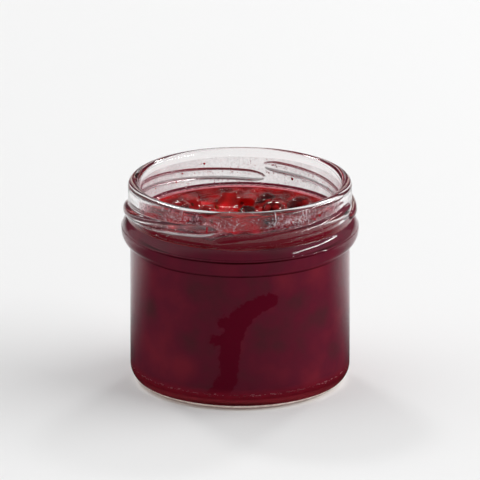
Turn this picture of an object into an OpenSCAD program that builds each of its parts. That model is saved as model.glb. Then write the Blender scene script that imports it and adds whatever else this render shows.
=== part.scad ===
// Low, wide glass jam jar with a four-lug twist-off neck, open, and filled with set fruit jam.
// Millimetres, +Z up, origin at the centre of the base.

/* [Glass jar] */
// Overall height of the jar
jar_h = 58.3; // [56:0.1:60]
// Outside diameter of the straight body
body_d = 61.7; // [60:0.1:62]
// Outside diameter of the neck above the bead
neck_d = 62.8; // [62.4:0.1:63.2]
// Outside diameter of the bead below the lugs
bead_d = 66.6; // [66.2:0.1:67.4]
// Inside diameter, from the mouth down to the floor
bore_d = 56.2; // [55.6:0.1:56.8]
// Height of the middle of the bead
bead_z = 44.1; // [43:0.1:44.5]
// Glass thickness at the middle of the floor
floor_t = 2.6; // [2.4:0.1:4]
// Rounding of the outside corner under the body
heel_r = 4.8; // [3:0.1:5]
// Rounding of the inside corner round the floor
cove_r = 4.6; // [4:0.1:7]
// Rise of the hollow under the base
punt_h = 0.9; // [0.5:0.1:1.2]

/* [Closure lugs] */
// Number of lugs round the neck
lug_count = 4; // [3:1:4]
// Turn round the jar that one lug covers, in degrees
lug_span = 92; // [60:1:100]
// Height that one lug climbs along its length
lug_rise = 3.6; // [3:0.1:4]
// Height of the lugs' low ends
lug_low_z = 49.3; // [48.8:0.1:49.6]
// Outside diameter over the lugs
lug_d = 65.4; // [65:0.1:65.8]
// Radius of a lug's round section
lug_r = 1.6; // [1.4:0.1:1.8]
// Direction of the first lug's low end, in degrees from +X
lug_start = -104; // [-180:1:180]

/* [Jam] */
// Height of the jam where it meets the glass
fill_z = 47.8; // [40:0.1:50]
// Depth of the hollow that a spoon has left
scoop_depth = 6.5; // [0:0.5:8]
// Radius of that hollow
scoop_r = 15; // [10:1:18]
// Height of the lumps of broken jelly
lump_h = 1.4; // [0:0.1:2]

/* [Hidden] */
$fn = 96;

body_r = body_d / 2;
neck_r = neck_d / 2;
bead_r = bead_d / 2;
bore_r = bore_d / 2;

// The rim is a full round over the wall of the neck.
rim_r = (neck_r - bore_r) / 2;
rim_mid_r = (neck_r + bore_r) / 2;
// The bead is part of a round that comes out of the body below and runs into the neck above.
bead_round = 4.6;
bead_mid_r = bead_r - bead_round;
bead_from = -acos((body_r - bead_mid_r) / bead_round);
bead_to = acos((neck_r - bead_mid_r) / bead_round);
// The jar stands on a ring inside the heel, round the hollow in its base.
foot_r = body_r - heel_r;
foot_w = 3.2;
punt_r = foot_r - foot_w;
// The hollow is a shallow dish: this share of its depth is left at this share of its radius.
PUNT_SHOULDER = [0.6, 0.7];
// Straight pieces that stand for one arc.
ARC_STEPS = 10;

// The jam's surface is a grid of sectors round the axis and rings from the middle to the glass.
JAM_SECTORS = 60;
JAM_RINGS = 13;
// The spoon's hollow is off the middle.
SCOOP_CENTRE = [4, -5];
// The jelly climbs the glass in a narrow meniscus.
MENISCUS_H = 0.9;
MENISCUS_W = 1.6;
// Width of the calm band of jelly beside the glass, where the lumps die away.
CALM_W = 7;

// Points on an arc about [x, y], from angle a0 to a1.
function arc(x, y, r, a0, a1) =
    [for (i = [0 : ARC_STEPS])
        let (a = a0 + (a1 - a0) * i / ARC_STEPS)
        [x + r * cos(a), y + r * sin(a)]];

// Floor, cove and wall of the bore, from the axis outwards and up to the height top.
function bore_line(top) = concat(
    [[0, floor_t]],
    arc(bore_r - cove_r, floor_t + cove_r, cove_r, -90, 0),
    [[bore_r, top]]
);

// Outside of the jar as a half profile, closed along the axis.
module jar_outline() {
    polygon(concat(
        [[0, punt_h]],
        [[punt_r * PUNT_SHOULDER[0], punt_h * PUNT_SHOULDER[1]]],
        [[punt_r, 0]],
        arc(foot_r, heel_r, heel_r, -90, 0),
        arc(bead_mid_r, bead_z, bead_round, bead_from, bead_to),
        arc(rim_mid_r, jar_h - rim_r, rim_r, 0, 90),
        [[0, jar_h]]
    ));
}

// Everything inside the glass, carried past the rim and flared by the rim's inner round.
module bore_outline() {
    polygon(concat(
        bore_line(jar_h - rim_r),
        arc(rim_mid_r, jar_h - rim_r, rim_r, 180, 90),
        [[rim_mid_r, jar_h + 1], [0, jar_h + 1]]
    ));
}

// One lug: a round bar bent to the neck and tilted, so that it climbs to the right.
module lug() {
    path_r = lug_d / 2 - lug_r;
    tilt = atan(lug_rise / (2 * path_r * sin(lug_span / 2)));
    translate([0, 0, lug_low_z + lug_rise / 2])
        rotate([tilt, 0, 0])
            rotate([0, 0, -lug_span / 2])
                rotate_extrude(angle = lug_span)
                    translate([path_r, 0])
                        circle(r = lug_r);
}

module jar() {
    color([0.9, 0.95, 0.94, 0.35])
        difference() {
            union() {
                rotate_extrude()
                    jar_outline();
                for (i = [0 : lug_count - 1])
                    rotate([0, 0, lug_start + lug_span / 2 + i * 360 / lug_count])
                        lug();
            }
            rotate_extrude()
                bore_outline();
        }
}

// Smooth hump, 1 at the middle and 0 from d = 1 outwards.
function hump(d) = d >= 1 ? 0 : pow(1 - d * d, 2);

// Lumps of broken jelly: three crossed waves, 6 to 12 mm long.
function lumps(x, y) =
    lump_h * (0.5 * sin(31 * x + 12 * y) * cos(26 * y - 9 * x)
            + 0.3 * sin(47 * y + 20 * x + 40)
            + 0.2 * cos(61 * x - 33 * y));

// Height of the jam's surface at a point.
function jam_top(x, y) =
    let (
        gap = bore_r - norm([x, y]),
        calm = gap < CALM_W ? hump(1 - gap / CALM_W) : 1,
        hollow = scoop_depth * hump(norm([x, y] - SCOOP_CENTRE) / scoop_r),
        climb = MENISCUS_H * pow(max(0, 1 - gap / MENISCUS_W), 2)
    )
    fill_z - MENISCUS_H + climb - hollow + calm * lumps(x, y);

// Points round the axis at radius r, all at height z.
function level_ring(r, z) =
    [for (j = [0 : JAM_SECTORS - 1])
        let (a = 360 * j / JAM_SECTORS)
        [r * cos(a), r * sin(a), z]];

// The same points laid on the jam's surface.
function surface_ring(r) = [for (p = level_ring(r, 0)) [p[0], p[1], jam_top(p[0], p[1])]];

// One closed shell: surface from the middle out, then down the glass and in across the floor.
module jam() {
    n = JAM_SECTORS;
    wall = [for (p = bore_line(fill_z)) if (p[0] > 0 && p[1] < fill_z) p];
    rings = concat(
        [for (i = [1 : JAM_RINGS]) surface_ring(bore_r * sin(90 * i / JAM_RINGS))],
        [for (i = [len(wall) - 1 : -1 : 0]) level_ring(wall[i][0], wall[i][1])]
    );
    last = len(rings) - 1;
    points = concat([[0, 0, jam_top(0, 0)]], [for (r = rings, p = r) p], [[0, 0, floor_t]]);
    faces = concat(
        [for (j = [0 : n - 1]) [0, 1 + (j + 1) % n, 1 + j]],
        [for (i = [0 : last - 1], j = [0 : n - 1])
            let (a = 1 + i * n + j, b = 1 + i * n + (j + 1) % n)
            each [[a, b, a + n], [b, b + n, a + n]]],
        [for (j = [0 : n - 1]) [len(points) - 1, 1 + last * n + j, 1 + last * n + (j + 1) % n]]
    );
    color([0.45, 0.03, 0.07])
        polyhedron(points, faces);
}

jar();
jam();
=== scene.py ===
import math

import bmesh
import bpy
import numpy as np
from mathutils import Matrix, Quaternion, Vector


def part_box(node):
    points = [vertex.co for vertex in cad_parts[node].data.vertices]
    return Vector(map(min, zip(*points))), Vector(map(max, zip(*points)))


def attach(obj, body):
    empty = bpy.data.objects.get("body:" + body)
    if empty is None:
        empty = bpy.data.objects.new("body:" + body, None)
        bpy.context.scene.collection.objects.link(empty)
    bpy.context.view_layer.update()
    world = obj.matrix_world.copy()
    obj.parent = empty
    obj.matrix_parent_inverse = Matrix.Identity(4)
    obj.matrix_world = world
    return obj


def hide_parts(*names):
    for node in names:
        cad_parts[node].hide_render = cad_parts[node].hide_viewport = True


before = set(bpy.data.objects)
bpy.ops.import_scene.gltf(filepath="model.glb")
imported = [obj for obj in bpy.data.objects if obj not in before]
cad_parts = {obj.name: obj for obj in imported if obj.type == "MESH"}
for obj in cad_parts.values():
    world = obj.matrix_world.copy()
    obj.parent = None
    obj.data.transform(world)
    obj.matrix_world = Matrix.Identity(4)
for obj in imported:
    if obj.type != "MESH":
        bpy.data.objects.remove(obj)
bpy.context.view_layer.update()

# ---------------------------------------------------------------- glass jar
# A low, wide jar pressed in one piece from clear soda-lime glass: full-round rim, four lugs that
# climb to the right for a twist-off lid, and a half-round bead. The mould leaves a hair-fine parting
# line round the bead, and the plunger leaves slow waves on the inside.

# Sizes are in mm, and angles in degrees from the front.
mm = 0.001
_, jar_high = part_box("jar")
jam_low, jam_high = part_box("jam")
jar_h = jar_high.z / mm
bead_r = jar_high.x / mm
bore_r = jam_high.x / mm
floor_z = jam_low.z / mm
body_r = 30.85
neck_r = 31.4
fill_z = 47.8
heel_r = 4.8
cove_r = 4.6
punt_h = 0.9
punt_r = 22.85
bead_z = 44.1
bead_round = 4.6
rim_r = (neck_r - bore_r) / 2
rim_mid_r = (neck_r + bore_r) / 2


def arc(r, z, radius, start, end, steps):
    """Points on an arc about (r, z), in degrees from outwards towards up."""
    turn = np.radians(np.linspace(start, end, steps))
    return [(r + radius * math.cos(a), z + radius * math.sin(a)) for a in turn]


def straight(r0, z0, r1, z1, steps):
    """Points between two ends, both left out."""
    return [(r0 + (r1 - r0) * t, z0 + (z1 - z0) * t) for t in np.linspace(0, 1, steps + 2)[1:-1]]


def turned_mesh(name, line, sectors, bend):
    """A closed mesh turned about Z from (radius, height) points in mm, from axis to axis.
    bend takes and returns arrays of radius and height, and is told the angle from the front."""
    line = np.array(line)
    angle, _ = np.meshgrid(np.linspace(0, 2 * np.pi, sectors, endpoint=False), line[:, 0])
    radius = np.tile(line[:, :1], (1, sectors))
    height = np.tile(line[:, 1:], (1, sectors))
    radius, height = bend(radius, height, angle)
    points = np.stack([radius * np.sin(angle), -radius * np.cos(angle), height], 2)
    rows = len(line) - 2
    ends = [[0, 0, height[0, 0]], [0, 0, height[-1, 0]]]
    points = np.vstack([points[1:-1].reshape(-1, 3), ends]) * mm
    here = np.arange(sectors)
    there = (here + 1) % sectors
    base = (np.arange(rows - 1) * sectors)[:, None]
    quads = np.stack([base + here, base + there, base + sectors + there, base + sectors + here], 2)
    faces = quads.reshape(-1, 4).tolist()
    bottom, top = rows * sectors, rows * sectors + 1
    last = (rows - 1) * sectors
    faces += [(bottom, b, a) for a, b in zip(here.tolist(), there.tolist())]
    faces += [(top, last + a, last + b) for a, b in zip(here.tolist(), there.tolist())]
    return mesh_piece(name, points, faces)


def mesh_piece(name, points, faces):
    """A smooth-shaded object from points in metres and faces."""
    mesh = bpy.data.meshes.new(name)
    mesh.from_pydata(np.asarray(points).tolist(), [], faces)
    mesh.polygons.foreach_set("use_smooth", [True] * len(mesh.polygons))
    mesh.update()
    made = bpy.data.objects.new(name, mesh)
    bpy.context.scene.collection.objects.link(made)
    return made


lug_start = -14
lug_span = 92
lug_low_z = 49.5
lug_rise = 3.6
lug_r = 1.75
lug_out_r = 32.75
lug_fade = 11
lug_sunk = 0.3


def lug_radius(height, angle):
    """How far out the lugs reach: round bars that taper and sink into the neck at both ends."""
    reach = np.zeros_like(height)
    for quarter in range(4):
        along = np.degrees(angle) - (lug_start + 90 * quarter)
        along = (along + 180 - lug_span / 2) % 360 - 180 + lug_span / 2
        on_bar = np.clip(along, 0, lug_span)
        from_end = np.minimum(along, lug_span - along) / lug_fade
        thick = np.sqrt(np.clip(1 - (1 - np.clip(from_end, 0, 1)) ** 2, 0, 1))
        above = height - (lug_low_z + lug_rise * on_bar / lug_span)
        bar = np.sqrt(np.maximum((lug_r * thick) ** 2 - above ** 2, 0))
        middle = neck_r - lug_sunk + (lug_out_r - lug_r - neck_r + lug_sunk) * thick
        reach = np.maximum(reach, np.where(bar > 0, middle + bar, 0))
    return reach


def waves(angle, height, size, seed):
    """Slow ripples of the given size in mm, with no seam round the jar."""
    s = np.random.default_rng(seed).uniform(0, 2 * np.pi, 5)
    ripple = 0
    for turns, climb, share, shift in zip((2, 3, 5, 9, 14), (0.11, -0.17, 0.31, -0.43, 0.7),
                                          (0.35, 0.25, 0.2, 0.12, 0.08), s):
        ripple = ripple + share * np.sin(turns * angle + climb * height + shift)
    return size * ripple


inner_wave = 0.10
outer_wave = 0.03


def plunger_waves(angle, height):
    """Waves on the inside, which fade in over 3 mm from just above the jam."""
    above_jam = np.clip((height - fill_z - 1) / 3, 0, 1)
    return above_jam * waves(angle, height, inner_wave, seed=5)


def bend_glass(radius, height, angle):
    """Adds the lugs, with a small fillet at their foot, and the waves of both sides."""
    inside = radius < bore_r + 0.01
    lugs = lug_radius(height, angle)
    blend = 0.25
    met = (radius + lugs + np.sqrt((radius - lugs) ** 2 + blend ** 2)) / 2
    on_neck = (height > bead_z + 2) & (height < jar_h - rim_r) & ~inside
    out = np.where(on_neck & (lugs > 0), met, radius)
    out = out + np.where(inside, plunger_waves(angle, height), 0)
    settled = (height > heel_r) & (height < jar_h - 2)
    out = out + np.where(~inside & settled, waves(angle, height, outer_wave, seed=7), 0)
    return out, height


bead_mid_r = bead_r - bead_round
under_fillet = 0.6
over_fillet = 0.7
seam_at = 12
seam_proud = 0.1
seam_foot = 1.4
seam_top = 0.4


def bead_fillet(wall_r, radius):
    """How far a fillet's middle is from the bead's middle height, and the angle where they meet."""
    out = wall_r + radius - bead_mid_r
    off = math.sqrt((bead_round + radius) ** 2 - out ** 2)
    return off, math.degrees(math.atan2(off, out))


under_off, under_meet = bead_fillet(body_r, under_fillet)
over_off, over_meet = bead_fillet(neck_r, over_fillet)
outside = (
    [(0, punt_h)] + [(r, punt_h * (1 - (r / punt_r) ** 3)) for r in np.linspace(2, punt_r, 14)]
    + arc(body_r - heel_r, heel_r, heel_r, -90, 0, 24)
    + straight(body_r, heel_r, body_r, bead_z - under_off, 16)
    + arc(body_r + under_fillet, bead_z - under_off, under_fillet, 180, 180 - under_meet, 9)[:-1]
    + arc(bead_mid_r, bead_z, bead_round, -under_meet, seam_at - seam_foot, 26)
    + arc(bead_mid_r, bead_z, bead_round + seam_proud, seam_at - seam_top, seam_at + seam_top, 2)
    + arc(bead_mid_r, bead_z, bead_round, seam_at + seam_foot, over_meet, 18)
    + arc(neck_r + over_fillet, bead_z + over_off, over_fillet, 180 + over_meet, 180, 7)[1:]
    + straight(neck_r, bead_z + over_off, neck_r, jar_h - rim_r, 60)
)
rim = arc(rim_mid_r, jar_h - rim_r, rim_r, 0, 180, 26)
inside = straight(bore_r, jar_h - rim_r, bore_r, floor_z + cove_r, 34)
inside += arc(bore_r - cove_r, floor_z + cove_r, cove_r, 0, -90, 16)
inside += straight(bore_r - cove_r, floor_z, 0, floor_z, 12) + [(0, floor_z)]
jar = turned_mesh("glass_jar", outside + rim + inside, sectors=372, bend=bend_glass)


def node(tree, kind, inputs={}, **settings):
    """Adds a node, sets its properties, and fills its sockets with values or with links."""
    made = tree.nodes.new(kind)
    for name, value in settings.items():
        setattr(made, name, value)
    for socket, value in inputs.items():
        if isinstance(value, bpy.types.NodeSocket):
            tree.links.new(value, made.inputs[socket])
        else:
            made.inputs[socket].default_value = value
    return made


def linear(code):
    """Linear RGBA from an sRGB hex code."""
    parts = [int(code[i:i + 2], 16) / 255 for i in (1, 3, 5)]
    return [c / 12.92 if c <= 0.04045 else ((c + 0.055) / 1.055) ** 2.4 for c in parts] + [1.0]


def new_material(name):
    """An empty material and its node tree."""
    made = bpy.data.materials.new(name)
    made.use_nodes = True
    made.node_tree.nodes.clear()
    return made, made.node_tree


def clear_solid(tree, surface, shade):
    """Gives a clear solid its surface, and lets light straight through to what is inside it."""
    passing = node(tree, "ShaderNodeBsdfTransparent", {"Color": shade}).outputs[0]
    ray = node(tree, "ShaderNodeLightPath")
    soft = node(tree, "ShaderNodeMixShader", {
        0: ray.outputs["Is Diffuse Ray"], 1: surface, 2: passing})
    lit = node(tree, "ShaderNodeMixShader", {
        0: ray.outputs["Is Shadow Ray"], 1: soft.outputs[0], 2: passing})
    return lit.outputs[0]


# Soda-lime glass, pressed in a polished steel mould: colourless and wholly clear, hard and bright,
# so it shows crisp white highlights, which waves 8 mm long bend a little. The scale of a noise is
# written as its grains to the millimetre.
glass, tree = new_material("soda_lime_glass")
place = node(tree, "ShaderNodeTexCoord")
ripple = node(tree, "ShaderNodeTexNoise", {
    "Vector": place.outputs["Object"], "Scale": 0.13 / mm, "Detail": 1.0})
skin = node(tree, "ShaderNodeBump", {
    "Height": ripple.outputs["Fac"], "Strength": 0.05, "Distance": 0.6 * mm})
clear = node(tree, "ShaderNodeBsdfPrincipled", {
    "Base Color": linear("#fdfbfb"), "Roughness": 0.0, "IOR": 1.52, "Transmission Weight": 1.0,
    "Normal": skin.outputs["Normal"]})
node(tree, "ShaderNodeOutputMaterial", {
    "Surface": clear_solid(tree, clear.outputs[0], linear("#f9fafa"))})
jar.data.materials.append(glass)
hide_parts("jar")
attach(jar, "root")

# ---------------------------------------------------------------- stippling on the foot
# The ring that the jar stands on is pressed with rows of tiny ridges, so that the hot glass does
# not craze on the belt. Their rough sides catch the light as one thin pale line round the foot.
ridge_count = 300
ridge_proud = 0.05
ridge_from = math.radians(-76)
ridge_to = math.radians(-45)
ridge_sunk = 0.8


def hoop_mesh(name, rings):
    """A closed hoop from rings of points in mm, each joined to the next and the last to the first."""
    count, sectors, _ = rings.shape
    here = np.arange(sectors)
    there = (here + 1) % sectors
    row = np.arange(count)[:, None]
    above = (row + 1) % count
    quads = np.stack([row * sectors + here, row * sectors + there,
                      above * sectors + there, above * sectors + here], 2)
    return mesh_piece(name, rings.reshape(-1, 3) * mm, quads.reshape(-1, 4).tolist())


def stipple_ring():
    """A closed thin band over the heel, scalloped into ridges, with its inner side in the glass."""
    steps = 7
    around = np.linspace(0, 2 * np.pi, ridge_count * 4, endpoint=False)
    climb = np.linspace(ridge_from, ridge_to, steps)
    crest = ridge_proud * (0.35 + 0.65 * np.abs(np.sin(around * ridge_count / 2)))
    fade = np.sin(np.linspace(0, np.pi, steps)) ** 0.5
    rings = []
    for a, f in list(zip(climb, fade)) + [(a, -ridge_sunk) for a in climb[::-1]]:
        lift = heel_r + (crest * f if f >= 0 else ridge_proud * f)
        r = body_r - heel_r + lift * math.cos(a)
        z = np.maximum(heel_r + lift * math.sin(a), 0.01) * np.ones(len(around))
        rings.append(np.stack([r * np.sin(around), -r * np.cos(around), z], 1))
    return hoop_mesh("foot_stippling", np.array(rings))


stipple = stipple_ring()

# Glass pressed against a knurled ring: the ridges scatter the light, so it is matt and cream white,
# and patchy, in grains of 2.5 mm, where the ridges are worn. A faint glow is painted on as painted
# light, for the light that the heel gathers from inside the glass.
frost, tree = new_material("stippled_glass_with_painted_glow")
place = node(tree, "ShaderNodeTexCoord")
grain = node(tree, "ShaderNodeTexNoise", {
    "Vector": place.outputs["Object"], "Scale": 0.4 / mm, "Detail": 2.0})
cover = node(tree, "ShaderNodeMapRange", {
    "Value": grain.outputs["Fac"], "From Min": 0.35, "From Max": 0.6, "To Min": 0.6, "To Max": 1.0})
# Painted light: a faint cream glow on the ridges, though they are no lamp.
matt_with_painted_glow = node(tree, "ShaderNodeBsdfPrincipled", {
    "Base Color": linear("#fff0e8"), "Roughness": 0.5, "Alpha": cover.outputs[0],
    "Emission Color": linear("#ffe2d6"), "Emission Strength": 0.08})
node(tree, "ShaderNodeOutputMaterial", {"Surface": matt_with_painted_glow.outputs[0]})
stipple.data.materials.append(frost)
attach(stipple, "root")

# ---------------------------------------------------------------- fruit in the jam
# Whole dark berries, pieces of soft drupelet fruit and pips, boiled in the jam. They float
# up and lie just under the surface, so the jelly swells over them.
rng = np.random.default_rng(23)
# Middle across and along, radius and depth of the dip that a spoon has left.
spoon_hollow = (4, -5, 15, 5.5)
berry_deep = 2.6
cluster_deep = 2.2
pip_deep = 1.7
drupelet_count = 15
golden_angle = 2.4


def hollow(x, y):
    """Depth of the dip that a spoon has left."""
    cx, cy, wide, deep = spoon_hollow
    return deep * np.maximum(0, 1 - (np.hypot(x - cx, y - cy) / wide) ** 2) ** 1.5


def spread(count, reach, gap):
    """Seeded places in the jar's mouth, at least gap mm apart."""
    found = []
    while len(found) < count:
        place = rng.uniform(-reach, reach, 2)
        if np.hypot(*place) < reach and all(np.hypot(*(place - f)) > gap for f in found):
            found.append(place)
    return np.array(found)


berry_at = spread(count=13, reach=24.5, gap=7.5)
berry_r = rng.uniform(2.0, 3.0, len(berry_at))
berry_z = fill_z - berry_deep - hollow(*berry_at.T) + rng.uniform(-0.4, 0.7, len(berry_at))
cluster_at = spread(count=9, reach=23.5, gap=8.5)
cluster_z = fill_z - cluster_deep - hollow(*cluster_at.T) + rng.uniform(-0.6, 0.5, len(cluster_at))


def ball(detail):
    """Points and faces of a round ball of radius 1."""
    shape = bmesh.new()
    bmesh.ops.create_icosphere(shape, subdivisions=detail, radius=1)
    points = np.array([v.co for v in shape.verts])
    faces = np.array([[v.index for v in f.verts] for f in shape.faces])
    shape.free()
    return points, faces


def joined(name, lumps):
    """One piece from many (points, faces), with the points in mm."""
    starts = np.cumsum([0] + [len(points) for points, _ in lumps])
    faces = np.vstack([faces + start for (_, faces), start in zip(lumps, starts)])
    return mesh_piece(name, np.vstack([points for points, _ in lumps]) * mm, faces.tolist())


def random_turn():
    """A seeded rotation matrix."""
    q = rng.normal(0, 1, 4)
    return np.array(Quaternion(q / np.linalg.norm(q)).to_matrix())


def berry(at, z, radius):
    """A soft round berry: slightly squashed and dented, with the crown at one end."""
    points, faces = ball(4)
    dents = sum(0.05 * np.sin(points @ rng.normal(0, 2.2, 3) + rng.uniform(0, 6)) for _ in range(4))
    crown = -0.16 * np.exp(-((points[:, 2] - 1) / 0.12) ** 2)
    points = points * (1 + dents + crown)[:, None] * [1, 1, rng.uniform(0.8, 0.95)] * radius
    return points @ random_turn().T + [at[0], at[1], z], faces


def cluster(at, z):
    """A piece of soft fruit made of drupelets, each a tight little ball."""
    points, faces = ball(2)
    parts = []
    turn = random_turn()
    for i in range(drupelet_count):
        up = 1 - 1.7 * (i + 0.5) / drupelet_count
        way = i * golden_angle
        out = math.sqrt(1 - up * up)
        middle = np.array([out * math.cos(way), out * math.sin(way), up]) * [2.6, 2.6, 2.0]
        parts.append((points * rng.uniform(0.95, 1.3) + middle) @ turn.T + [at[0], at[1], z])
    return [(p, faces) for p in parts]


def pip(at, z, long):
    """A small hard seed, pointed at one end."""
    points, faces = ball(3)
    points = points * [1, 0.62, 0.45] * (1 - 0.28 * points[:, :1])
    return points * long / 2 @ random_turn().T + [at[0], at[1], z], faces


berries = joined("dark_berries", [berry(*b) for b in zip(berry_at, berry_z, berry_r)])
clusters = joined("drupelet_fruit", [
    part for c in zip(cluster_at, cluster_z) for part in cluster(*c)])

# Skin of a berry, boiled soft: a nearly black red with brighter blotches 2 mm wide where the flesh
# shows through, finely dimpled. It has no gloss of its own, since the jelly wets it all over.
skin_mat, tree = new_material("boiled_berry_skin")
place = node(tree, "ShaderNodeTexCoord")
mottle = node(tree, "ShaderNodeTexNoise", {
    "Vector": place.outputs["Object"], "Scale": 0.5 / mm, "Detail": 3.0})
tone = node(tree, "ShaderNodeValToRGB", {"Fac": mottle.outputs["Fac"]})
tone.color_ramp.elements[0].position = 0.35
tone.color_ramp.elements[0].color = linear("#3e0410")
tone.color_ramp.elements[1].position = 0.7
tone.color_ramp.elements[1].color = linear("#8a0c1a")
dimple = node(tree, "ShaderNodeBump", {
    "Height": mottle.outputs["Fac"], "Strength": 0.3, "Distance": 0.3 * mm})
hide = node(tree, "ShaderNodeBsdfPrincipled", {
    "Base Color": tone.outputs["Color"], "Roughness": 0.3, "Specular IOR Level": 0.0,
    "Normal": dimple.outputs["Normal"]})
node(tree, "ShaderNodeOutputMaterial", {"Surface": hide.outputs[0]})
berries.data.materials.append(skin_mat)
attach(berries, "root")

pip_at = spread(count=48, reach=26.5, gap=1.8)
pip_z = fill_z - pip_deep - hollow(*pip_at.T) + rng.uniform(-0.6, 0.4, len(pip_at))
pip_long = rng.uniform(1.3, 2.0, len(pip_at))
pips = joined("pips", [pip(*p) for p in zip(pip_at, pip_z, pip_long)])

# Woody husk of a seed, stained by the jam: a dull brown red with paler grains half a millimetre
# wide, so that each pip stands out from the jelly round it as a small lighter grain.
husk, tree = new_material("boiled_seed_husk")
place = node(tree, "ShaderNodeTexCoord")
grain = node(tree, "ShaderNodeTexNoise", {
    "Vector": place.outputs["Object"], "Scale": 1.8 / mm, "Detail": 2.0})
tone = node(tree, "ShaderNodeValToRGB", {"Fac": grain.outputs["Fac"]})
tone.color_ramp.elements[0].position = 0.35
tone.color_ramp.elements[0].color = linear("#6e1c14")
tone.color_ramp.elements[1].position = 0.7
tone.color_ramp.elements[1].color = linear("#c05a40")
shell = node(tree, "ShaderNodeBsdfPrincipled", {
    "Base Color": tone.outputs["Color"], "Roughness": 0.4, "Specular IOR Level": 0.0})
node(tree, "ShaderNodeOutputMaterial", {"Surface": shell.outputs[0]})
pips.data.materials.append(husk)
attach(pips, "root")

# Flesh of soft fruit, boiled through: a bright red in blotches of 3 mm, deepest where the juice
# has stayed in it. It is the warm red that glows through the thin jelly.
flesh, tree = new_material("soft_drupelet_flesh")
place = node(tree, "ShaderNodeTexCoord")
mottle = node(tree, "ShaderNodeTexNoise", {
    "Vector": place.outputs["Object"], "Scale": 0.32 / mm, "Detail": 2.0})
tone = node(tree, "ShaderNodeValToRGB", {"Fac": mottle.outputs["Fac"]})
tone.color_ramp.elements[0].position = 0.35
tone.color_ramp.elements[0].color = linear("#7d0a16")
tone.color_ramp.elements[1].position = 0.7
tone.color_ramp.elements[1].color = linear("#d8323a")
meat = node(tree, "ShaderNodeBsdfPrincipled", {
    "Base Color": tone.outputs["Color"], "Roughness": 0.35, "Specular IOR Level": 0.0})
node(tree, "ShaderNodeOutputMaterial", {"Surface": meat.outputs[0]})
clusters.data.materials.append(flesh)
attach(clusters, "root")

# ---------------------------------------------------------------- body of the jam
# Set fruit jam, filled hot, dark and nearly opaque. It reaches a little way into the glass, so that
# no gap shows. A haze of sugar greys it there, except in one streak that wet jelly has wiped clear.
# Thin dark rings are painted on its front and back as painted shade, where the bead of the glass
# shows dark lines.
core_edge_z = fill_z - 1.0
in_wall = 0.2
painted_line_levels = (39.3, 40.2, 43.4)
chunk_count = 60
chunk_at = spread(count=chunk_count, reach=31, gap=4.2)
chunk_tilt = rng.normal(0, 0.2, (chunk_count, 2))
chunk_up = rng.normal(0, 0.75, chunk_count)
torn_level = fill_z - 0.9
meniscus_h = 0.9
meniscus_wide = 1.6
cluster_r = 3.4
fruit_at = np.vstack([berry_at, cluster_at])
fruit_z = np.concatenate([berry_z, cluster_z + 0.6])
fruit_r = np.concatenate([berry_r + 0.35, np.full(len(cluster_at), cluster_r)])


def broken(x, y, soft):
    """Uneven steps and facets of torn jelly, about 1.5 mm high, with edges soft mm wide."""
    p = np.stack([x.ravel(), y.ravel()], 1)
    d = np.hypot(p[:, None, 0] - chunk_at[None, :, 0], p[:, None, 1] - chunk_at[None, :, 1])
    w = np.exp((d.min(1, keepdims=True) - d) / soft)
    own = chunk_up + ((p[:, None, :] - chunk_at[None]) * chunk_tilt[None]).sum(2)
    return ((w * own).sum(1) / w.sum(1)).reshape(x.shape)


def over_fruit(x, y, top):
    """Lifts a surface over the fruit that lies in it."""
    for at, z, radius in zip(fruit_at, fruit_z, fruit_r):
        off = np.hypot(x - at[0], y - at[1])
        dome = z + np.sqrt(np.maximum(radius ** 2 - off ** 2, 0))
        dome = np.where(off < radius, dome, -99)
        top = (top + dome + np.sqrt((top - dome) ** 2 + 0.5)) / 2
    return top


def jelly_top(x, y):
    """Height of the clear jelly: torn in the middle, calm and climbing at the glass."""
    gap = np.maximum(bore_r - np.hypot(x, y), 0)
    calm = np.clip(gap / 5, 0, 1) ** 1.5
    climb = meniscus_h * np.maximum(0, 1 - gap / meniscus_wide) ** 2
    level = torn_level - hollow(x, y) + calm * broken(x, y, soft=0.35)
    return calm * over_fruit(x, y, level) + (1 - calm) * level + climb


def core_top(x, y):
    """Height of the opaque jam, which lies uneven under the clear jelly."""
    gap = np.maximum(bore_r - np.hypot(x, y), 0)
    calm = np.clip(gap / 3, 0, 1)
    depth = 1.3 + 0.9 * np.sin(0.7 * x + 0.3 * y + 1) * np.cos(0.6 * y - 0.35 * x)
    level = torn_level - hollow(x, y) + 0.7 * broken(x, y, soft=1.2) - depth
    return calm * level + (1 - calm) * core_edge_z


def bend_core(radius, height, angle):
    """Lays the lid of the turned shape on the uneven top of the jam."""
    x, y = radius * np.sin(angle), -radius * np.cos(angle)
    return radius, np.where(height > jar_h, core_top(x, y), height)


core_r = bore_r + in_wall
lid_z = jar_h + 10
core_line = (
    [(0, floor_z - in_wall)] + straight(0, floor_z - in_wall, bore_r - cove_r, floor_z - in_wall, 6)
    + arc(bore_r - cove_r, floor_z + cove_r, cove_r + in_wall, -90, 0, 16)
    + straight(core_r, floor_z + cove_r, core_r, core_edge_z, 84) + [(core_r, core_edge_z)]
    + [(core_r * math.sin(t), lid_z) for t in np.linspace(math.pi / 2, 0, 70)[1:-1]] + [(0, lid_z)]
)
core = turned_mesh("jam_body", core_line, sectors=420, bend=bend_core)

# The streak: a hooked smear and two dabs on its left, as (degrees from front, height, half width).
streak_line = np.array([
    (-14, 3.7, 2.5), (-6.6, 8.6, 2.3), (-5.5, 16, 2.6), (-5.5, 20, 2.8), (-2.8, 23.5, 2.7),
    (0, 27, 3.0), (5.5, 29.7, 2.6), (12.3, 31.5, 2.3), (17, 31.9, 2.0)])
dabs = np.array([(-8, 25.8, 1.7), (-13, 20.3, 1.5)])
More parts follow.
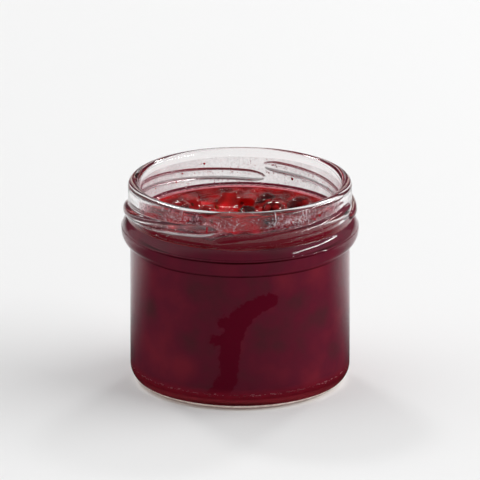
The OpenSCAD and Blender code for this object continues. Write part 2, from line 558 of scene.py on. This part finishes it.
# Fruit that lies against the glass, as (degrees from front, height, radius, dark or light).
by_glass = [
    (-27, 35, 3.4, -1), (-58, 26, 3.2, -1), (-30, 19, 4, -1), (13, 21, 4.5, -1),
    (50, 24, 4.2, -1), (24, 38, 3.4, 1), (48, 37, 4, 1), (-57, 13, 4.5, 1),
    (-31, 11, 4, 1), (43, 6, 4, 1), (36, 31, 3, -1), (62, 13, 3, -1)]
behind_count = 26
by_glass += list(zip(
    rng.uniform(85, 275, behind_count), rng.uniform(6, 42, behind_count),
    rng.uniform(2.5, 4.5, behind_count), rng.choice([-1, 1], behind_count)))
co = np.array([v.co for v in core.data.vertices]) / mm
around = np.degrees(np.arctan2(co[:, 0], -co[:, 1]))
high = co[:, 2]
fine = np.linspace(0, len(streak_line) - 1, 90)
corners = np.arange(len(streak_line))
path = np.stack([np.interp(fine, corners, streak_line[:, k]) for k in range(3)], 1)
path = np.vstack([path, dabs])
beside = (around[:, None] - path[None, :, 0]) * math.radians(1) * bore_r
inside_by = path[None, :, 2] - np.hypot(beside, high[:, None] - path[None, :, 1])
nearest = inside_by.argmax(1)
rows = np.arange(len(co))
soft_left = 4.2
soft_right = 2.0
frayed = np.where(beside[rows, nearest] < 0, soft_left, soft_right)
streak = np.clip(0.5 + inside_by[rows, nearest] / frayed, 0, 1)
tint = np.zeros(len(co))
for degrees, z, radius, tone in by_glass:
    turn = (around - degrees + 180) % 360 - 180
    far = np.hypot(turn * math.radians(1) * bore_r, high - z) / radius
    tint += tone * np.exp(-far ** 2)
for name, values in (("wiped", streak), ("fruit", 0.5 + 0.32 * np.clip(tint, -1, 1))):
    layer = core.data.attributes.new(name, "FLOAT", "POINT")
    layer.data.foreach_set("value", values.astype(np.float32))

# Jam set with pectin: matt and wine red behind its haze of sugar, clouded in patches of 4 and
# 13 mm by the fruit in it. The wiped streak is a deeper clean red with an edge frayed at 1.4 mm.
# Its torn top is bright where it is thin. Faces that look down are painted a lighter pink, palest on
# the flat bottom: painted light, for the light that comes up through the base of the glass.
deep, tree = new_material("set_fruit_jam")
place = node(tree, "ShaderNodeTexCoord")
fray = node(tree, "ShaderNodeTexNoise", {
    "Vector": place.outputs["Object"], "Scale": 0.7 / mm, "Detail": 4.0})
blot = node(tree, "ShaderNodeTexNoise", {
    "Vector": place.outputs["Object"], "Scale": 0.075 / mm, "Detail": 3.0, "Roughness": 0.5})
wiped = node(tree, "ShaderNodeAttribute", attribute_name="wiped")
fruit = node(tree, "ShaderNodeAttribute", attribute_name="fruit")
edge = node(tree, "ShaderNodeMath", {0: fray.outputs["Fac"], 1: 0.5}, operation="SUBTRACT")
edge = node(tree, "ShaderNodeMath", {
    0: edge.outputs[0], 1: 0.9, 2: wiped.outputs["Fac"]}, operation="MULTIPLY_ADD")
clean = node(tree, "ShaderNodeMapRange", {
    "Value": edge.outputs[0], "From Min": 0.36, "From Max": 0.58}, interpolation_type="SMOOTHSTEP")
bits = node(tree, "ShaderNodeTexNoise", {
    "Vector": place.outputs["Object"], "Scale": 0.23 / mm, "Detail": 3.0})
mixed = node(tree, "ShaderNodeMath", {
    0: blot.outputs["Fac"], 1: 0.9, 2: fruit.outputs["Fac"]}, operation="MULTIPLY_ADD")
mixed = node(tree, "ShaderNodeMath", {
    0: bits.outputs["Fac"], 1: 0.5, 2: mixed.outputs[0]}, operation="MULTIPLY_ADD")
mixed = node(tree, "ShaderNodeMath", {0: mixed.outputs[0], 1: 0.7}, operation="SUBTRACT")
ramp = node(tree, "ShaderNodeValToRGB", {"Fac": mixed.outputs[0]})
ramp.color_ramp.elements[0].position = 0.1
ramp.color_ramp.elements[0].color = linear("#4f272d")
ramp.color_ramp.elements[1].position = 0.9
ramp.color_ramp.elements[1].color = linear("#7c2433")
ramp.color_ramp.elements.new(0.5).color = linear("#661e30")
side = node(tree, "ShaderNodeMixRGB", {
    "Fac": clean.outputs[0], "Color1": ramp.outputs["Color"], "Color2": linear("#600820")})
level = node(tree, "ShaderNodeSeparateXYZ", {0: place.outputs["Object"]})
shaky = node(tree, "ShaderNodeMath", {
    0: blot.outputs["Fac"], 1: 0.4 * mm, 2: level.outputs["Z"]}, operation="MULTIPLY_ADD")
from_side = node(tree, "ShaderNodeMath", {0: level.outputs["Y"]}, operation="ABSOLUTE")
facing_out = node(tree, "ShaderNodeMapRange", {
    "Value": from_side.outputs[0], "From Min": 10 * mm, "From Max": 18 * mm})
# Painted shade: thin dark rings on the front and back of the jam, at the heights where the bead of
# the glass shows dark lines.
for painted_line_z in painted_line_levels:
    off = node(tree, "ShaderNodeMath", {
        0: shaky.outputs[0], 1: (painted_line_z + 0.2) * mm}, operation="SUBTRACT")
    off = node(tree, "ShaderNodeMath", {0: off.outputs[0]}, operation="ABSOLUTE")
    line = node(tree, "ShaderNodeMapRange", {
        "Value": off.outputs[0], "From Min": 0.32 * mm, "From Max": 0.16 * mm},
        interpolation_type="SMOOTHSTEP")
    line = node(tree, "ShaderNodeMath", {
        0: line.outputs[0], 1: facing_out.outputs[0]}, operation="MULTIPLY")
    side = node(tree, "ShaderNodeMixRGB", {
        "Fac": line.outputs[0], "Color1": side.outputs["Color"], "Color2": linear("#300006")})
torn = node(tree, "ShaderNodeValToRGB", {"Fac": blot.outputs["Fac"]})
torn.color_ramp.elements[0].position = 0.36
torn.color_ramp.elements[0].color = linear("#6a060e")
torn.color_ramp.elements[1].position = 0.62
torn.color_ramp.elements[1].color = linear("#f23038")
facing = node(tree, "ShaderNodeSeparateXYZ", {
    0: node(tree, "ShaderNodeNewGeometry").outputs["Normal"]})
upward = node(tree, "ShaderNodeMapRange", {
    "Value": facing.outputs["Z"], "From Min": 0.15, "From Max": 0.5})
colour = node(tree, "ShaderNodeMixRGB", {
    "Fac": upward.outputs[0], "Color1": side.outputs["Color"], "Color2": torn.outputs["Color"]})
# Painted light: faces that look down are coloured a lighter red, and the flat bottom pale pink.
painted_light_below = node(tree, "ShaderNodeMapRange", {
    "Value": facing.outputs["Z"], "From Min": -0.2, "From Max": -0.8})
colour = node(tree, "ShaderNodeMixRGB", {
    "Fac": painted_light_below.outputs[0], "Color1": colour.outputs["Color"], "Color2": linear("#8c1c30")})
painted_light_bottom = node(tree, "ShaderNodeMapRange", {
    "Value": facing.outputs["Z"], "From Min": -0.85, "From Max": -0.99})
colour = node(tree, "ShaderNodeMixRGB", {
    "Fac": painted_light_bottom.outputs[0], "Color1": colour.outputs["Color"], "Color2": linear("#e85a6c")})
pulp = node(tree, "ShaderNodeBsdfPrincipled", {
    "Base Color": colour.outputs["Color"], "Roughness": 0.5, "Specular IOR Level": 0.0})
node(tree, "ShaderNodeOutputMaterial", {"Surface": pulp.outputs[0]})
core.data.materials.append(deep)
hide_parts("jam")
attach(core, "root")

# ---------------------------------------------------------------- clear jelly on top
# The jelly between the pieces of fruit: clear, wine red, set by its own pectin, and torn into lumps
# by the spoon. It wets the fruit and the glass, and climbs the glass a little at its edge.
under = 0.8


def bend_jelly(radius, height, angle):
    """Lays the upper side of the disc on the torn top, and its lower side in the opaque jam."""
    x, y = radius * np.sin(angle), -radius * np.cos(angle)
    short = np.minimum(radius, bore_r) / np.maximum(radius, 0.01)
    top = jelly_top(x * short, y * short)
    low = np.minimum(core_top(x, y), top) - under
    return radius, np.where(height > jar_h, top, np.where(height < 0, low, height))


jelly_line = (
    [(0, -1)] + [(core_r * math.sin(t), -1) for t in np.linspace(0, math.pi / 2, 60)[1:-1]]
    + straight(core_r, core_edge_z - under, core_r, fill_z, 8)
    + [(core_r, lid_z)]
    + [(bore_r * math.sin(t), lid_z) for t in np.linspace(math.pi / 2, 0, 160)[:-1]]
    + [(0, lid_z)]
)
jelly = turned_mesh("clear_jelly", jelly_line, sectors=420, bend=bend_jelly)

# Fruit jelly: glass-clear, with a wet gloss that small curds of 1.2 mm break up. It takes out green
# and blue within a millimetre, so thin edges are bright red and deep places almost black.
gel, tree = new_material("fruit_jelly")
place = node(tree, "ShaderNodeTexCoord")
curds = node(tree, "ShaderNodeTexNoise", {
    "Vector": place.outputs["Object"], "Scale": 0.8 / mm, "Detail": 2.0})
dimple = node(tree, "ShaderNodeBump", {
    "Height": curds.outputs["Fac"], "Strength": 0.5, "Distance": 0.4 * mm})
clear = node(tree, "ShaderNodeBsdfPrincipled", {
    "Base Color": linear("#ffffff"), "Roughness": 0.02, "IOR": 1.4, "Transmission Weight": 1.0,
    "Normal": dimple.outputs["Normal"]})
body = node(tree, "ShaderNodeVolumeAbsorption", {"Color": linear("#f20062"), "Density": 2023.0})
node(tree, "ShaderNodeOutputMaterial", {
    "Surface": clear_solid(tree, clear.outputs[0], linear("#fafafa")), "Volume": body.outputs[0]})
jelly.data.materials.append(gel)
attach(jelly, "root")

# ---------------------------------------------------------------- jam left on the neck
# A thin reddish film and dried spatter of jam on the inside of the neck, left by the spoon and by
# filling, with a few wet red dabs. In front the film is dark wine red from the jam up to a line that
# climbs with the lugs: partly a smear of jam, partly painted shade for the dark the lugs show.
# Small air bubbles sit in the corner of the jar's floor.
film_gap = 0.03
film_thick = 0.05
film_foot_z = fill_z - 1.1
film_low_z = fill_z + 0.2
film_high_z = jar_h - rim_r - 0.6
smear_high_z = 51.5
smear_climb = 2.6


def neck_wall(angle, height):
    """Radius of the inside of the neck, with its slow waves."""
    return bore_r + plunger_waves(angle, height)


def film_mesh(sectors, rows):
    """A closed thin hoop that follows the inside of the neck."""
    high = np.linspace(film_foot_z, film_high_z, rows)
    line = [(film_gap, z) for z in high] + [(film_gap + film_thick, z) for z in high[::-1]]
    line = np.array(line)
    angle, _ = np.meshgrid(np.linspace(0, 2 * np.pi, sectors, endpoint=False), line[:, 0])
    height = np.tile(line[:, 1:], (1, sectors))
    radius = neck_wall(angle, height) - line[:, :1]
    rings = np.stack([radius * np.sin(angle), -radius * np.cos(angle), height], 2)
    return hoop_mesh("jam_film", rings)


film = film_mesh(sectors=300, rows=23)
co = np.array([v.co for v in film.data.vertices]) / mm
around = np.arctan2(co[:, 0], -co[:, 1])
ragged = 0.5 * np.sin(5 * around + 0.6) + 0.35 * np.sin(13 * around + 2)
ragged = ragged + 0.25 * np.sin(29 * around)
front_side = 0.5 + 0.5 * np.tanh(3.5 * (np.cos(around) + 0.1))
along_lug = np.clip((np.degrees(around) - lug_start) / lug_span, 0, 1)
smear_top = smear_high_z + smear_climb * along_lug + ragged
# Partly smear, partly painted shade: dark in front, up to a ragged line that climbs with the lugs.
smear_shade = np.clip((smear_top - co[:, 2]) / 1.2, 0, 1) * front_side
layer = film.data.attributes.new("smear_shade", "FLOAT", "POINT")
layer.data.foreach_set("value", smear_shade.astype(np.float32))

# Jam dried to a skin: see-through, matt and dusty pink where it is thin, uneven in grains of 0.7 mm
# and in clouds of 11 mm, and a dark wine red that hides the glass where it is smeared on. In front
# below the lugs that dark is also painted shade.
milk, tree = new_material("dried_jam_film")
place = node(tree, "ShaderNodeTexCoord")
wide = node(tree, "ShaderNodeTexNoise", {
    "Vector": place.outputs["Object"], "Scale": 0.09 / mm, "Detail": 3.0})
fine_grain = node(tree, "ShaderNodeTexNoise", {
    "Vector": place.outputs["Object"], "Scale": 1.5 / mm, "Detail": 3.0})
patchy = node(tree, "ShaderNodeMath", {
    0: fine_grain.outputs["Fac"], 1: 0.55, 2: wide.outputs["Fac"]}, operation="MULTIPLY_ADD")
cover = node(tree, "ShaderNodeMapRange", {
    "Value": patchy.outputs[0], "From Min": 0.6, "From Max": 1.0, "To Min": 0.05, "To Max": 0.19})
smear_shade_fac = node(tree, "ShaderNodeAttribute", attribute_name="smear_shade")
tone = node(tree, "ShaderNodeValToRGB", {"Fac": smear_shade_fac.outputs["Fac"]})
tone.color_ramp.elements[0].position = 0.05
tone.color_ramp.elements[0].color = linear("#b06478")
tone.color_ramp.elements[1].position = 0.6
tone.color_ramp.elements[1].color = linear("#740e20")
cover = node(tree, "ShaderNodeMath", {
    0: smear_shade_fac.outputs["Fac"], 1: 0.82, 2: cover.outputs[0]}, operation="MULTIPLY_ADD")
dried = node(tree, "ShaderNodeBsdfPrincipled", {
    "Base Color": tone.outputs["Color"], "Roughness": 0.4, "Specular IOR Level": 0.0,
    "Alpha": cover.outputs[0]})
node(tree, "ShaderNodeOutputMaterial", {"Surface": dried.outputs[0]})
film.data.materials.append(milk)
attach(film, "root")


def to_side(angle):
    """Turns row vectors from the front of the jar round to an angle."""
    c, s = math.cos(angle), math.sin(angle)
    return np.array([[c, s, 0], [-s, c, 0], [0, 0, 1]])


def drops(name, count, sizes, low_z, high_z, detail, keep):
    """Flattened drops stuck to the inside of the neck, where keep(angle, height) lets them be."""
    points, faces = ball(detail)
    found = []
    while len(found) < count:
        angle = rng.uniform(-math.pi, math.pi)
        z = rng.uniform(low_z, high_z)
        if rng.uniform() > keep(angle, z):
            continue
        size = rng.uniform(*sizes) * rng.uniform(0.5, 1) * np.array([1, 0.4, rng.uniform(0.8, 1.6)])
        r = float(neck_wall(angle, z)) - film_thick
        at = [r * math.sin(angle), -r * math.cos(angle), z]
        found.append((points * size @ to_side(angle) + at, faces))
    return joined(name, found)


def lug_edge(angle, z):
    """1 beside the upper or lower edge of a lug, 0 away from it."""
    middle = lug_low_z + lug_rise * ((math.degrees(angle) - lug_start) % 90) / lug_span
    return math.exp(-((abs(z - middle) - 1.2) / 0.25) ** 2)


spatter_z = 54.6
spatter_wide = 1.9


def spattered(angle, z):
    """Where dried jam is thick: in patches over the lugs in front, and along the lugs behind."""
    patches = math.sin(3 * angle - 1) + math.sin(7 * angle + 0.5 * z + 2)
    patches += math.sin(11 * angle - 0.8 * z + 2)
    front = 0.5 + 0.5 * math.tanh(4 * (math.cos(angle) + 0.2))
    high = 0.04 + 0.96 * math.exp(-((z - spatter_z) / spatter_wide) ** 2)
    in_front = front * high / (1 + math.exp(-1.6 * patches))
    return in_front + (1 - front) * (0.04 + 0.5 * lug_edge(angle, z))


spatter = drops("dried_spatter", count=3000, sizes=(0.06, 0.2), low_z=film_low_z,
                high_z=film_high_z, detail=1, keep=spattered)

# Drops of jam dried hard, with sugar come out of them: opaque, pale pink to white in patches of
# 4 mm, with a dull gloss, so that they stand out from the film as fine bright grains.
crust, tree = new_material("dried_jam_drops")
place = node(tree, "ShaderNodeTexCoord")
mottle = node(tree, "ShaderNodeTexNoise", {
    "Vector": place.outputs["Object"], "Scale": 0.25 / mm, "Detail": 2.0})
tone = node(tree, "ShaderNodeValToRGB", {"Fac": mottle.outputs["Fac"]})
tone.color_ramp.elements[0].position = 0.35
tone.color_ramp.elements[0].color = linear("#c06478")
tone.color_ramp.elements[1].position = 0.6
tone.color_ramp.elements[1].color = linear("#ffe6ea")
drop = node(tree, "ShaderNodeBsdfPrincipled", {
    "Base Color": tone.outputs["Color"], "Roughness": 0.25})
node(tree, "ShaderNodeOutputMaterial", {"Surface": drop.outputs[0]})
spatter.data.materials.append(crust)
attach(spatter, "root")

wet = drops("wet_dabs", count=44, sizes=(0.16, 0.42), low_z=film_low_z - 0.5,
            high_z=film_high_z - 1, detail=3, keep=spattered)

# Jam that is still wet: a full red in blotches of 2.5 mm, with a sharp wet gloss.
syrup, tree = new_material("wet_jam")
place = node(tree, "ShaderNodeTexCoord")
mottle = node(tree, "ShaderNodeTexNoise", {
    "Vector": place.outputs["Object"], "Scale": 0.4 / mm, "Detail": 2.0})
tone = node(tree, "ShaderNodeValToRGB", {"Fac": mottle.outputs["Fac"]})
tone.color_ramp.elements[0].position = 0.35
tone.color_ramp.elements[0].color = linear("#7a0612")
tone.color_ramp.elements[1].position = 0.7
tone.color_ramp.elements[1].color = linear("#d0182a")
dab = node(tree, "ShaderNodeBsdfPrincipled", {
    "Base Color": tone.outputs["Color"], "Roughness": 0.12})
node(tree, "ShaderNodeOutputMaterial", {"Surface": dab.outputs[0]})
wet.data.materials.append(syrup)
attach(wet, "root")


def bubble(angle):
    """An air bubble against the rounded corner inside the base."""
    points, faces = ball(2)
    lean = math.radians(rng.normal(-38, 3))
    reach = cove_r + in_wall
    r = bore_r - cove_r + reach * math.cos(lean)
    z = floor_z + cove_r + reach * math.sin(lean)
    size = rng.uniform(0.04, 0.15) * np.array([rng.uniform(1, 4), 1, 1])
    return points * size @ to_side(angle) + [r * math.sin(angle), -r * math.cos(angle), z], faces


bubble_count = 330
bubble_angles = rng.uniform(-math.pi, math.pi, bubble_count)
bubbles = joined("base_bubbles", [bubble(angle) for angle in bubble_angles])

# Air caught in hot jam: each bubble is a small dusty pink grain, lighter than the jam round it, and
# the tone of the foam changes every 5 mm or so.
foam, tree = new_material("jam_foam")
place = node(tree, "ShaderNodeTexCoord")
mottle = node(tree, "ShaderNodeTexNoise", {
    "Vector": place.outputs["Object"], "Scale": 0.2 / mm, "Detail": 1.0})
tone = node(tree, "ShaderNodeValToRGB", {"Fac": mottle.outputs["Fac"]})
tone.color_ramp.elements[0].position = 0.4
tone.color_ramp.elements[0].color = linear("#7c1c2c")
tone.color_ramp.elements[1].position = 0.6
tone.color_ramp.elements[1].color = linear("#b06670")
froth = node(tree, "ShaderNodeBsdfPrincipled", {
    "Base Color": tone.outputs["Color"], "Roughness": 0.3})
node(tree, "ShaderNodeOutputMaterial", {"Surface": froth.outputs[0]})
bubbles.data.materials.append(foam)
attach(bubbles, "root")

# ---------------------------------------------------------------- floor and studio
# A sweep of pale paper, curved up behind the jar, in a soft white room with a long narrow light on
# the right and two small ones behind. Mirrored rays see the floor in front, the wall behind and
# the left of the room darker, as in a studio with black screens, so the glass keeps clear edges.
floor_mesh = bpy.data.meshes.new("studio_floor")
half, back, top = 2.5, 2.2, 2.6
curve_r = 0.6
points = [(-half, -half, 0), (half, -half, 0)]
for a in np.radians(np.linspace(0, 90, 12)):
    y, z = back + curve_r * math.sin(a), curve_r * (1 - math.cos(a))
    points += [(-half, y, z), (half, y, z)]
points += [(-half, back + curve_r, top), (half, back + curve_r, top)]
strips = [(2 * i, 2 * i + 1, 2 * i + 3, 2 * i + 2) for i in range(len(points) // 2 - 1)]
floor_mesh.from_pydata(points, [], strips)
floor_mesh.polygons.foreach_set("use_smooth", [True] * len(strips))
sweep = bpy.data.objects.new("studio_floor", floor_mesh)
bpy.context.scene.collection.objects.link(sweep)

# Uncoated paper, dead matt: an even pale grey with soft shadows and no sheen. The round patch that
# the jar's hollow base covers is painted dark red: painted shade, for the light that reaches it
# through the jam.
paper, tree = new_material("sweep_paper")
place = node(tree, "ShaderNodeTexCoord")
off_axis = node(tree, "ShaderNodeVectorMath", {0: place.outputs["Object"]}, operation="LENGTH")
past_foot = node(tree, "ShaderNodeMapRange", {
    "Value": off_axis.outputs["Value"], "From Min": 26.2 * mm, "From Max": 27.2 * mm})
# Painted shade: the patch under the jar's foot is coloured dark red, for the light that reaches it
# only through the jam.
tint = node(tree, "ShaderNodeMixRGB", {
    "Fac": past_foot.outputs[0], "Color1": linear("#7a1a26"), "Color2": linear("#ebebeb")})
shade = node(tree, "ShaderNodeBsdfDiffuse", {"Color": tint.outputs["Color"]})
dark = node(tree, "ShaderNodeBsdfDiffuse", {"Color": linear("#2c2c2c")})
where = node(tree, "ShaderNodeSeparateXYZ", {0: place.outputs["Object"]})
in_front = node(tree, "ShaderNodeMapRange", {
    "Value": where.outputs["Y"], "From Min": 0.1, "From Max": 0.0}, interpolation_type="SMOOTHSTEP")
in_front = node(tree, "ShaderNodeMath", {
    0: in_front.outputs[0], 1: past_foot.outputs[0]}, operation="MULTIPLY")
behind = node(tree, "ShaderNodeMapRange", {
    "Value": where.outputs["Z"], "From Min": 0.05, "From Max": 0.4, "To Max": 0.85})
unlit = node(tree, "ShaderNodeMath", {
    0: in_front.outputs[0], 1: behind.outputs[0]}, operation="MAXIMUM")
ray = node(tree, "ShaderNodeLightPath")
mirrored = node(tree, "ShaderNodeMath", {
    0: ray.outputs["Is Glossy Ray"], 1: ray.outputs["Is Reflection Ray"]}, operation="MULTIPLY")
hidden = node(tree, "ShaderNodeMath", {
    0: mirrored.outputs[0], 1: unlit.outputs[0]}, operation="MULTIPLY")
sheet = node(tree, "ShaderNodeMixShader", {
    0: hidden.outputs[0], 1: shade.outputs[0], 2: dark.outputs[0]})
node(tree, "ShaderNodeOutputMaterial", {"Surface": sheet.outputs[0]})
floor_mesh.materials.append(paper)


def softbox(name, at, size, power, aim):
    """A rectangular light of the given width and height, turned to what it lights."""
    lamp = bpy.data.lights.new(name, "AREA")
    lamp.shape = "RECTANGLE"
    lamp.size, lamp.size_y = size
    lamp.energy = power
    box = bpy.data.objects.new(name, lamp)
    box.location = at
    box.rotation_euler = (Vector(aim) - Vector(at)).to_track_quat("-Z", "Y").to_euler()
    bpy.context.scene.collection.objects.link(box)


softbox("key", at=(1.16, 0.0, 0.87), size=(1.6, 0.08), power=10, aim=(0, 0, 0.03))
softbox("back_left", at=(-0.7, 1.3, 1.6), size=(0.3, 0.3), power=7, aim=(0, 0, 0.05))
softbox("back_right", at=(0.6, 1.2, 1.2), size=(0.2, 0.2), power=4, aim=(0, 0, 0.05))

world = bpy.data.worlds.new("studio")
world.use_nodes = True
tree = world.node_tree
tree.nodes.clear()
look = node(tree, "ShaderNodeTexCoord")
axes = node(tree, "ShaderNodeSeparateXYZ", {0: look.outputs["Generated"]})
front = node(tree, "ShaderNodeMapRange", {
    "Value": axes.outputs["Y"], "From Min": -0.75, "From Max": -0.05,
    "To Min": 0.06, "To Max": 0.96}, interpolation_type="SMOOTHSTEP")
ray = node(tree, "ShaderNodeLightPath")
mirrored = node(tree, "ShaderNodeMath", {
    0: ray.outputs["Is Glossy Ray"], 1: ray.outputs["Is Reflection Ray"]}, operation="MULTIPLY")
left_wall = node(tree, "ShaderNodeMapRange", {
    "Value": axes.outputs["X"], "From Min": -0.25, "From Max": -0.8,
    "To Min": -0.75, "To Max": -0.55})
dimming = node(tree, "ShaderNodeMath", {
    0: mirrored.outputs[0], 1: left_wall.outputs[0], 2: 1.0}, operation="MULTIPLY_ADD")
level = node(tree, "ShaderNodeMath", {
    0: front.outputs[0], 1: dimming.outputs[0]}, operation="MULTIPLY")
glow = node(tree, "ShaderNodeBackground", {
    "Color": linear("#ffffff"), "Strength": level.outputs[0]})
node(tree, "ShaderNodeOutputWorld", {"Surface": glow.outputs[0]})
bpy.context.scene.world = world
bpy.context.scene.view_settings.view_transform = "Standard"

# ---------------------------------------------------------------- camera
# A long lens from 2.5 m away, looking down a little, which keeps the sides of the jar upright.
camera = bpy.data.objects.new("camera", bpy.data.cameras.new("camera"))
aim = Vector((0, 0, 0.04045))
down = math.radians(18.3)
away = 2.5
seen_width = 0.1346
sensor = 36
camera.data.sensor_width = sensor
camera.data.lens = sensor * away / seen_width
camera.location = aim + Vector((0, -away * math.cos(down), away * math.sin(down)))
camera.rotation_euler = (aim - camera.location).to_track_quat("-Z", "Y").to_euler()
bpy.context.scene.collection.objects.link(camera)
bpy.context.scene.camera = camera
